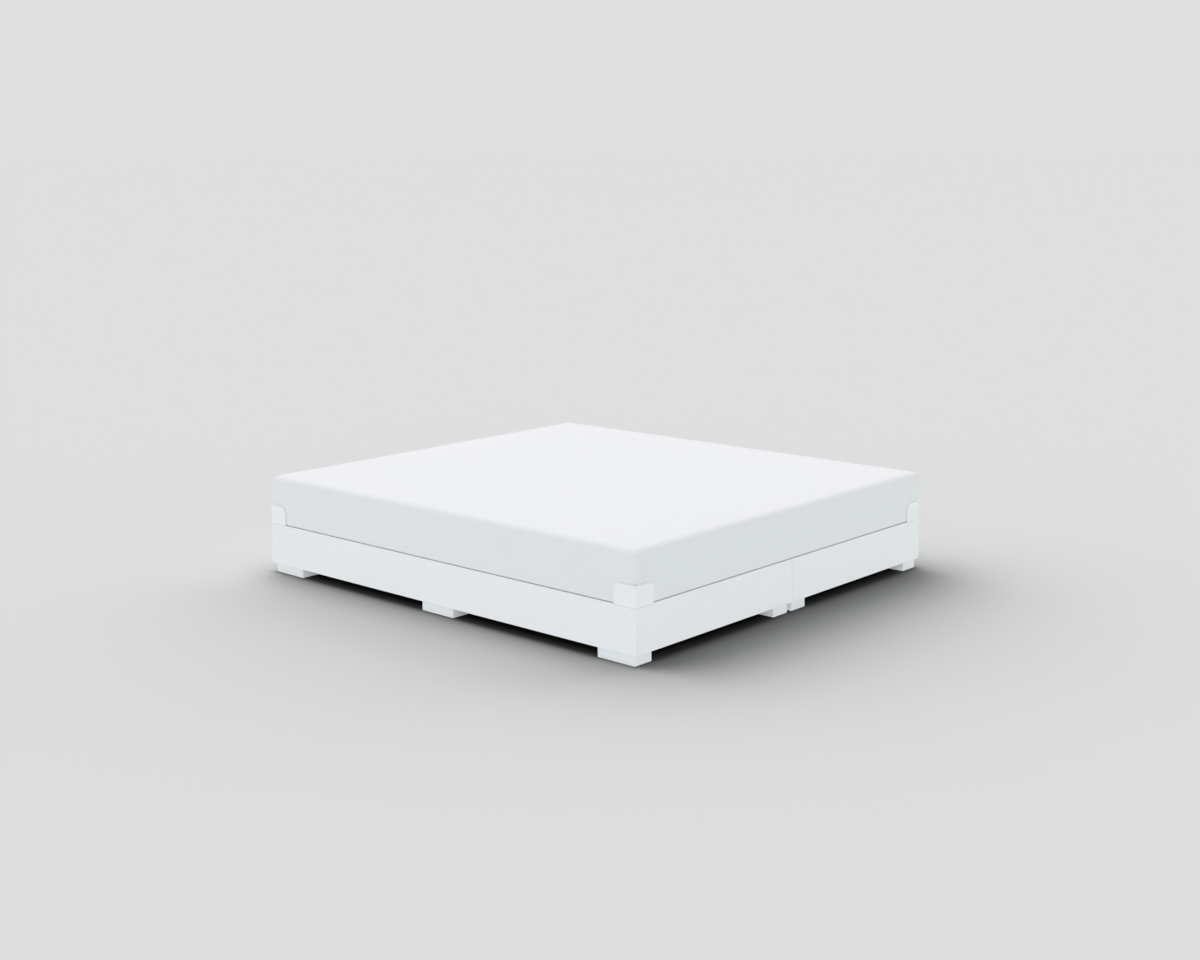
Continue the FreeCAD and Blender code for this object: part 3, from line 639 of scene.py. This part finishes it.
on_top = knitted(tree, at.outputs["X"], at.outputs["Y"])
on_long_side = knitted(tree, at.outputs["Z"], at.outputs["Y"])
on_short_side = knitted(tree, at.outputs["X"], at.outputs["Z"])
sideways = maths(tree, "SUBTRACT", facing.outputs["X"], facing.outputs["Y"])
to_long = spread(tree, sideways, -0.02, 0.02, 0.0, 1.0)
to_top = spread(tree, facing.outputs["Z"], 0.69, 0.73, 0.0, 1.0)
side = add(tree, "Mix", _0=to_long, _2=on_short_side, _3=on_long_side).outputs[0]
loops = add(tree, "Mix", _0=to_top, _2=side, _3=on_top).outputs[0]
fuzz = noise(tree, here, 2600.0, 2.0)
drift = noise(tree, here, 3.2, 3.0)
cloth_colour = mixed(tree, drift, (0.830, 0.837, 0.868, 1), (0.842, 0.849, 0.880, 1))
# Painted shade: the hollows between the knit's loops are greyed, standing in for the shade that falls in
# them.
painted_loop_shade = maths(tree, "MULTIPLY_ADD", loops, -0.28, 0.28)
cloth_colour = mixed(tree, painted_loop_shade, cloth_colour, (0.60, 0.61, 0.65, 1))
feed(tree, shader, Base_Color=cloth_colour, Roughness=0.88, Sheen_Weight=0.12, Sheen_Roughness=0.5)
raised(tree, shader, maths(tree, "MULTIPLY_ADD", fuzz, 0.35, loops), 0.0003, 0.6)
as_soft_part(cover, knit, "mattress_cover")


# The studio: a pale floor without an edge, plain but for painted shade and shadow about the bed and a painted
# glow for diffuse rays, and broad soft lamps. The floor and the bed have lamps of their own.

floor_mesh = bpy.data.meshes.new("floor")
reach = 400.0
floor_corners = [(-reach, -reach, 0), (reach, -reach, 0), (reach, reach, 0), (-reach, reach, 0)]
floor_mesh.from_pydata(floor_corners, [], [(0, 1, 2, 3)])
floor = bpy.data.objects.new("floor", floor_mesh)
bpy.context.scene.collection.objects.link(floor)
paper, tree, shader = new_material("pale_floor")
# How far a point lies beyond the bed's sides, across and along, and beyond the outline as a whole.
here = add(tree, "VectorMath", {"operation": "ABSOLUTE"}, _0=places(tree)).outputs[0]
bed_sides = (cad_box[1][0], cad_box[1][1], 0.0)
beyond = add(tree, "VectorMath", {"operation": "SUBTRACT"}, _0=here, _1=bed_sides).outputs[0]
at = add(tree, "SeparateXYZ", _0=beyond).outputs
away = maths(tree, "MAXIMUM", at["X"], at["Y"])


def soft_step(tree, distance, middle, width):
    """From 1 inside to 0 outside, half way at the middle: 1 / (1 + e to the way past it over the
    width)."""
    past = maths(tree, "DIVIDE", maths(tree, "SUBTRACT", distance, middle), width)
    grown = maths(tree, "EXPONENT", maths(tree, "MINIMUM", past, 40.0))
    return maths(tree, "DIVIDE", 1.0, maths(tree, "ADD", grown, 1.0))


def within(tree, distances, width):
    """How far a point lies inside the bed's outline, from 0 to 1: a soft step across the long
    sides times one across the short sides."""
    return maths(tree, "MULTIPLY", *(soft_step(tree, distances[axis], 0.0, width) for axis in "XY"))


# Painted shadow: close by the bed the floor's colour is darkened towards black in a soft shade, with a faint
# wider one round it.
black, plain = (0.0, 0.0, 0.0, 1), (0.42, 0.42, 0.42, 1)
painted_wide_shade = maths(tree, "MULTIPLY", within(tree, at, 0.9), 0.125)
shade = maths(tree, "MULTIPLY_ADD", within(tree, at, 0.08), 0.93, painted_wide_shade)
pale = mixed(tree, shade, plain, black)
# Painted shadow: under the rails the floor's colour is darker again, a first step at their outer faces, a
# small one further in.
further_painted_shadow = maths(tree, "MULTIPLY", soft_step(tree, away, -0.066, 0.006), 0.17)
under = maths(tree, "MULTIPLY_ADD", soft_step(tree, away, -0.005, 0.010), 0.70, further_painted_shadow)
pale = mixed(tree, under, pale, black)
# Far under the bed, where it shows only between the slats, it is pale again.
deep = spread(tree, away, -0.32, -0.19, 1.0, 0.0)
pale = mixed(tree, deep, pale, (0.36, 0.36, 0.36, 1))
feed(tree, shader, Base_Color=pale, Roughness=1.0, Specular_IOR_Level=0.0)
# Painted light: for diffuse rays the floor glows, so the light that it throws up on the bed is even, as from
# a pale card that lies all round it and fades out 200 mm under it.
outside = maths(tree, "MULTIPLY", spread(tree, away, -0.20, 0.016, 0.0, 1.0), 0.99)
painted_floor_glow = add(tree, "Emission", Color=(0.925, 1.0, 0.995, 1), Strength=outside)
rays = add(tree, "LightPath")
choice = add(tree, "MixShader", _0=rays.outputs["Is Diffuse Ray"], _1=shader.outputs[0], _2=painted_floor_glow.outputs[0])
tree.links.new(choice.outputs[0], tree.nodes["Material Output"].inputs["Surface"])
paper.cycles.emission_sampling = "NONE"
floor_mesh.materials.append(paper)

world = bpy.data.worlds.new("studio")
bpy.context.scene.world = world
world.use_nodes = True
tree = world.node_tree
rays = add(tree, "LightPath")
shown = maths(tree, "MAXIMUM", rays.outputs["Is Camera Ray"],
              maths(tree, "MAXIMUM", rays.outputs["Is Glossy Ray"], rays.outputs["Is Transmission Ray"]))
backdrop = (0.738, 0.738, 0.738, 1)
colour = mixed(tree, shown, black, backdrop)
tree.links.new(colour, tree.nodes["Background"].inputs["Color"])

bed_parts = bpy.data.collections.new("bed_parts")
for piece in bpy.context.scene.objects:
    if piece.type == "MESH" and piece != floor:
        bed_parts.objects.link(piece)
floor_only = bpy.data.collections.new("floor_only")
floor_only.objects.link(floor)


def lamp(name, bearing, height, half_angle, strength, lit):
    """A far, broad lamp: the compass bearing it stands at, counted from X towards Y, its height
    above the horizon and half its width, in degrees. It lights one collection."""
    data = bpy.data.lights.new(name, "SUN")
    data.energy = strength
    data.angle = math.radians(2 * half_angle)
    made = bpy.data.objects.new(name, data)
    made.rotation_euler = (math.radians(90 - height), 0, math.radians(bearing + 90))
    bpy.context.scene.collection.objects.link(made)
    made.light_linking.receiver_collection = lit


lamp("floor_high", bearing=75, height=50, half_angle=35, strength=2.52, lit=floor_only)
lamp("floor_low", bearing=60, height=20, half_angle=30, strength=2.61, lit=floor_only)
lamp("floor_left", bearing=0, height=20, half_angle=30, strength=2.51, lit=floor_only)
lamp("floor_right", bearing=120, height=35, half_angle=30, strength=3.08, lit=floor_only)
lamp("bed_key", bearing=60, height=50, half_angle=20, strength=0.61, lit=bed_parts)
lamp("bed_sky", bearing=180, height=86, half_angle=85, strength=2.85, lit=bed_parts)

# The camera stands beyond the front left corner, a little above the bed, and looks along its
# diagonal.
stands_at = (-5.5309, -5.0056, 1.9162)
heading, pitch, roll = 41.968, 7.195, -0.295
lens = bpy.data.cameras.new("view")
lens.sensor_width = 36.0
lens.lens = 49.614
lens.shift_y = -0.10
lens.clip_end = 2000.0
camera = bpy.data.objects.new("view", lens)
camera.matrix_world = (
    Matrix.Translation(stands_at)
    @ Matrix.Rotation(math.radians(heading - 90), 4, "Z")
    @ Matrix.Rotation(math.radians(90 - pitch), 4, "X")
    @ Matrix.Rotation(math.radians(roll), 4, "Z")
)
bpy.context.scene.collection.objects.link(camera)
bpy.context.scene.camera = camera
